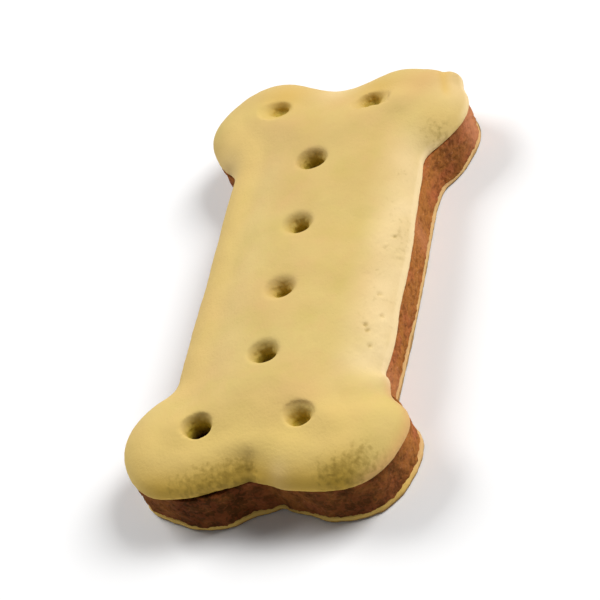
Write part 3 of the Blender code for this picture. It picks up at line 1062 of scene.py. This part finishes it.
class BISCUIT_OT_filling(bpy.types.Operator):
    """Model the rough meaty filling"""

    bl_idname = "biscuit.filling"
    bl_label = "Filling"

    def execute(self, context):
        s = sizes()
        low = s.base_joint - FILLING_IN_BASE
        high = s.top_joint + FILLING_IN_TOP
        filling = outline_slab("meat_filling", low, high)
        shape_outline(filling, s.filling_inset + CRAG_ROOM, RIM_LUMPS)
        press_holes(filling)
        apply_modifier(filling, "REMESH", mode="VOXEL", voxel_size=FILLING_VOXEL)
        apply_modifier(filling, "SMOOTH", factor=0.5, iterations=2)
        thin_out(filling, low)
        thin_out(filling, high)
        spots = spots_of(filling)
        side = vertex_weights(filling, "side", spots, lambda p: smoothstep(2.5 * MM, 1.0 * MM, p.inside))
        relief(filling, 4.0 * MM, 0.3 * MM, side, depth=1)
        relief(filling, 0.8 * MM, 0.4 * MM, side, depth=3)
        relief(filling, 0.35 * MM, 0.14 * MM, side, depth=1)
        vertex_values(filling, "browned_and_painted_shade", spots, self.browned_and_painted_shade)
        vertex_values(filling, "rosy", spots, self.rosy)
        filling.vertex_groups.clear()
        stay_in_box(filling)
        filling.data.materials.append(baked_meat_dough())
        finish_piece(filling, "filling")
        return {"FINISHED"}

    @staticmethod
    def browned_and_painted_shade(p):
        """Painted shade: darkest at the front end, less at its middle and sides, and in a few patches."""
        left = 0.45 * smoothstep(-8 * MM, -12.5 * MM, p.y)
        middle = 0.42 * math.exp(-((p.y - 3.5 * MM) / (4 * MM)) ** 2)
        right = 0.25 * smoothstep(7 * MM, 13 * MM, p.y)
        front = front_share(p) * (0.95 - left - middle - right)
        blotches = 0.75 + 0.5 * (patchy(p, 1.5 * MM, seed=5.0) - 0.5)
        patches = lumpiness(p.x, p.y, FILLING_PAINTED_SHADE_PATCHES)
        return min(1.0, front * (0.4 + 0.8 * blotches) + patches * blotches)

    @staticmethod
    def rosy(p):
        """Pinker in a few patches."""
        return min(1.0, lumpiness(p.x, p.y, ROSY_MEAT_PATCHES))


class BISCUIT_OT_base_dough(bpy.types.Operator):
    """Model the thin base dough with its uneven lip"""

    bl_idname = "biscuit.base_dough"
    bl_label = "Base dough"

    def execute(self, context):
        s = sizes()
        base = outline_slab("base_dough", 0.0, s.base_joint)
        for height in (s.base_joint, 0.0):
            round_edge(base, height, 0.3 * MM)
        shape_outline(base, s.base_inset, RIM_LUMPS)
        apply_modifier(base, "REMESH", mode="VOXEL", voxel_size=BASE_VOXEL)
        thin_out(base, s.base_joint)
        spots = spots_of(base)
        push(base, -0.3 * MM, vertex_weights(base, "thin", spots, self.thin_share), "Z")
        lip = vertex_weights(base, "lip", spots, lambda p: smoothstep(1.5 * MM, 0.5 * MM, p.inside))
        relief(base, 3.0 * MM, 0.3 * MM, lip, depth=2)
        relief(base, 0.7 * MM, 0.12 * MM, lip, depth=2)
        # On the base this share only turns the front end's lip yellower
        vertex_values(base, "browned_and_painted_shade", spots, front_share)
        vertex_values(base, "under", spots, self.under)
        base.vertex_groups.clear()
        stay_in_box(base)
        base.data.materials.append(baked_base_dough())
        finish_piece(base, "base_biscuit")
        return {"FINISHED"}

    @staticmethod
    def thin_share(p):
        """The lip is thinnest along the right side of the shaft and in the front end's notch."""
        if p.z < 0.45 * MM or p.inside > 2.5 * MM:
            return 0.0
        shaft = smoothstep(6 * MM, 9 * MM, p.y) * smoothstep(20 * MM, 15 * MM, p.x)
        return max(shaft, min(1.0, lumpiness(p.x, p.y, LIP_THIN_PATCHES)))

    @staticmethod
    def under(p):
        """Darker towards the bottom: the underside baked darker on the tray, with painted shade along the
        lip's lower edge, and the lip a little darker at the right of the front end.
        """
        return min(1.0, smoothstep(0.5 * MM, 0.2 * MM, p.z) + lumpiness(p.x, p.y, LIP_DARKER_PATCHES))


# The stage. Each azimuth is from +X towards +Y, in degrees.

FLOOR_SIZE = 4.0
WORLD_STRENGTH = 0.15

# Two softboxes stand behind the biscuit, the stronger one to its right: name, azimuth, power in watts
SOFTBOXES = (("right_softbox", 120.0, 9.3), ("left_softbox", 240.0, 6.4))
SOFTBOX_ELEVATION = 45.0
SOFTBOX_DISTANCE = 1.0
SOFTBOX_SIZE = 0.5
LIGHT_TARGET = Vector((0.0, 0.0, 5.0 * MM))

# The photograph's viewing angle to the biscuit
CAMERA_AZIMUTH = 33.05
CAMERA_ELEVATION = 43.67
CAMERA_ROLL = -29.88
CAMERA_DISTANCE = 240.4 * MM
CAMERA_TARGET = Vector((-0.21, -2.26, 1.48)) * MM
SENSOR_WIDTH = 36.0
CAMERA_LENS = 133.0


def direction(azimuth, elevation):
    turn = math.radians(azimuth)
    rise = math.radians(elevation)
    return Vector((math.cos(turn) * math.cos(rise), math.sin(turn) * math.cos(rise), math.sin(rise)))


class BISCUIT_OT_studio(bpy.types.Operator):
    """Set the plain floor, the soft lights and the camera"""

    bl_idname = "biscuit.studio"
    bl_label = "Studio"

    def execute(self, context):
        self.floor()
        self.lights(context.scene)
        self.camera(context.scene)
        return {"FINISHED"}

    @staticmethod
    def floor():
        deselect_all()
        bpy.ops.mesh.primitive_plane_add(size=FLOOR_SIZE, location=(0.0, 0.0, 0.0))
        floor = bpy.context.object
        floor.name = "floor"
        material, _, shader = new_material("matte_paper_floor")
        shader.inputs["Base Color"].default_value = rgba(colours().floor)
        shader.inputs["Roughness"].default_value = 0.9
        floor.data.materials.append(material)

    @staticmethod
    def lights(scene):
        world = bpy.data.worlds.new("soft_room")
        world.use_nodes = True
        world.node_tree.nodes["Background"].inputs["Color"].default_value = (1.0, 1.0, 1.0, 1.0)
        world.node_tree.nodes["Background"].inputs["Strength"].default_value = WORLD_STRENGTH
        scene.world = world
        for name, azimuth, power in SOFTBOXES:
            light = bpy.data.lights.new(name, "AREA")
            light.size = SOFTBOX_SIZE
            light.energy = power
            away = direction(azimuth, SOFTBOX_ELEVATION)
            lamp = bpy.data.objects.new(name, light)
            lamp.location = LIGHT_TARGET + away * SOFTBOX_DISTANCE
            lamp.rotation_euler = (-away).to_track_quat("-Z", "Y").to_euler()
            scene.collection.objects.link(lamp)

    @staticmethod
    def camera(scene):
        back = direction(CAMERA_AZIMUTH, CAMERA_ELEVATION)
        data = bpy.data.cameras.new("camera")
        data.sensor_width = SENSOR_WIDTH
        data.lens = CAMERA_LENS
        data.clip_start = 0.01
        data.clip_end = 10.0
        camera = bpy.data.objects.new("camera", data)
        turned = (-back).to_track_quat("-Z", "Y").to_matrix()
        turned @= Matrix.Rotation(math.radians(CAMERA_ROLL), 3, "Z")
        camera.matrix_world = Matrix.Translation(CAMERA_TARGET + back * CAMERA_DISTANCE) @ turned.to_4x4()
        scene.collection.objects.link(camera)
        scene.camera = camera
        scene.view_settings.view_transform = "Standard"


class BISCUIT_PT_panel(bpy.types.Panel):
    """Lists the biscuit's pieces, sizes and colours"""

    bl_idname = "BISCUIT_PT_panel"
    bl_label = "Sandwich dog biscuit"
    bl_space_type = "VIEW_3D"
    bl_region_type = "UI"
    bl_category = "Biscuit"

    def draw(self, context):
        layout = self.layout
        for operator in OPERATORS:
            layout.operator(operator.bl_idname)
        for group in (sizes(), colours()):
            for name in group.bl_rna.properties.keys():
                if name not in ("rna_type", "name"):
                    layout.prop(group, name)


OPERATORS = (BISCUIT_OT_top_dough, BISCUIT_OT_filling, BISCUIT_OT_base_dough, BISCUIT_OT_studio)
CLASSES = (BoneSizes, BakeColours, *OPERATORS, BISCUIT_PT_panel)


def register():
    for made in CLASSES:
        bpy.utils.register_class(made)
    bpy.types.Scene.bone_sizes = bpy.props.PointerProperty(type=BoneSizes)
    bpy.types.Scene.bake_colours = bpy.props.PointerProperty(type=BakeColours)


def unregister():
    del bpy.types.Scene.bake_colours
    del bpy.types.Scene.bone_sizes
    for made in reversed(CLASSES):
        bpy.utils.unregister_class(made)


def main():
    register()
    bpy.ops.biscuit.top_dough()
    bpy.ops.biscuit.filling()
    bpy.ops.biscuit.base_dough()
    bpy.ops.biscuit.studio()


if __name__ == "__main__":
    main()
